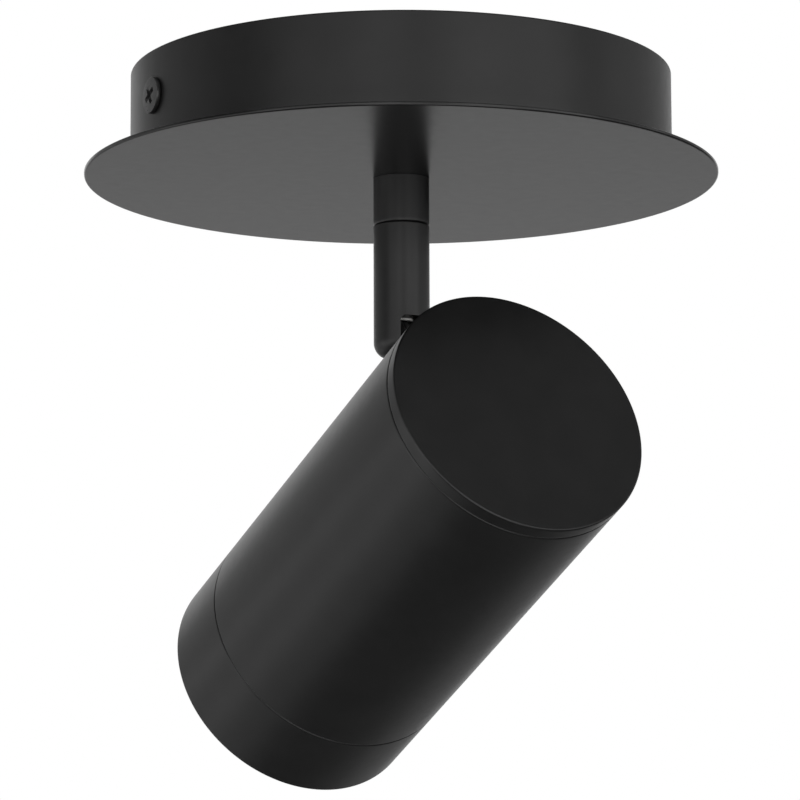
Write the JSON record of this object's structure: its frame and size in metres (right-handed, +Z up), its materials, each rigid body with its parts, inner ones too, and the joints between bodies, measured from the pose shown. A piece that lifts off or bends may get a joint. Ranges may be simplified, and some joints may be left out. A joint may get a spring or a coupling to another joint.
{
  "type": "adjustable ceiling spotlight",
  "caption": "Surface mounted ceiling spotlight: round canopy with a wider flange disc, a swivelling stem and a cylindrical head on a tilting knuckle.",
  "frame": {"origin": "on the ceiling plane, at the middle of the canopy and of its two ceiling slots", "axes": "+Z up into the ceiling; X along the ceiling strap, through both side screws; the head points to +Y and down at rest"},
  "size_m": [0.136, 0.136, 0.1505],
  "materials": {
    "black_coat_steel": "satin black powder coat on steel",
    "black_coat_aluminium": "satin black powder coat on aluminium",
    "black_screw": "satin black painted screw",
    "zinc_steel": "zinc plated",
    "brass": "bare brass",
    "nickel_brass": "nickel plated brass",
    "black_sheath": "soft black plastic sheath",
    "core_insulation": "silicone insulation, one core brown and one blue",
    "earth_insulation": "green insulation with a yellow stripe",
    "white_plastic": "moulded nylon",
    "slide_plastic": "low friction plastic",
    "ceramic": "steatite ceramic, matt",
    "lamp_shell": "moulded lamp shell",
    "board": "white circuit board with light emitting chips",
    "lens": "frosted lens"
  },
  "bodies": {
    "canopy": {"canopy_drum": "black_coat_steel", "flange_plate": "black_coat_steel", "ceiling_bracket": "zinc_steel", "canopy_screws": "black_screw", "earth_screw": "brass", "earth_tags": "zinc_steel", "earth_leads": "earth_insulation", "stem_nipple": "zinc_steel", "nipple_nut": "zinc_steel", "lock_washer": "zinc_steel", "flat_washer": "zinc_steel", "cable_bush": "black_sheath", "cable_canopy": "black_sheath", "supply_cores": "core_insulation", "terminal_block": "white_plastic", "terminal_inserts": "brass", "terminal_screws": "zinc_steel", "terminal_fixing_screws": "zinc_steel", "stem_collar": "black_coat_steel"},
    "stem": {"stem_rod": "black_coat_steel", "swivel_washer": "slide_plastic", "swivel_nut": "zinc_steel", "stop_pin": "zinc_steel", "stem_cable": "black_sheath", "pivot_screw": "zinc_steel"},
    "head": {"pivot_cores": "core_insulation", "knuckle": "black_coat_steel", "friction_washers": "slide_plastic", "knuckle_washer": "zinc_steel", "knuckle_nut": "zinc_steel", "head_housing": "black_coat_aluminium", "rear_cap": "black_coat_aluminium", "holder_bracket": "zinc_steel", "holder_screws": "zinc_steel", "lampholder": "ceramic", "holder_contacts": "brass", "head_cores": "core_insulation"},
    "lamp": {"lamp_base": "lamp_shell", "lamp_body": "lamp_shell", "led_board": "board", "lamp_lens": "lens", "lamp_pins": "nickel_brass"},
    "bezel": {"front_bezel": "black_coat_aluminium"}
  },
  "joints": [
    {"name": "stem_pan", "type": "hinge", "parent": "canopy", "child": "stem", "pos_m": [0, 0, -0.0326], "axis": [0, 0, 1], "range_deg": [-170, 170]},
    {"name": "head_tilt", "type": "hinge", "parent": "stem", "child": "head", "pos_m": [0, 0, -0.0575], "axis": [0.9993, 0.0384, 0], "range_deg": [-55, 25], "deforming": ["pivot_cores"]},
    {"name": "lamp_twist", "type": "hinge", "parent": "head", "child": "lamp", "pos_m": [-0.00162, 0.04215, -0.1217], "axis": [-0.035, 0.9104, -0.4123], "range_deg": [0, 15]},
    {"name": "bezel_off", "type": "slide", "parent": "head", "child": "bezel", "axis": [-0.035, 0.9104, -0.4123], "range_m": [0, 0.03]}
  ]
}
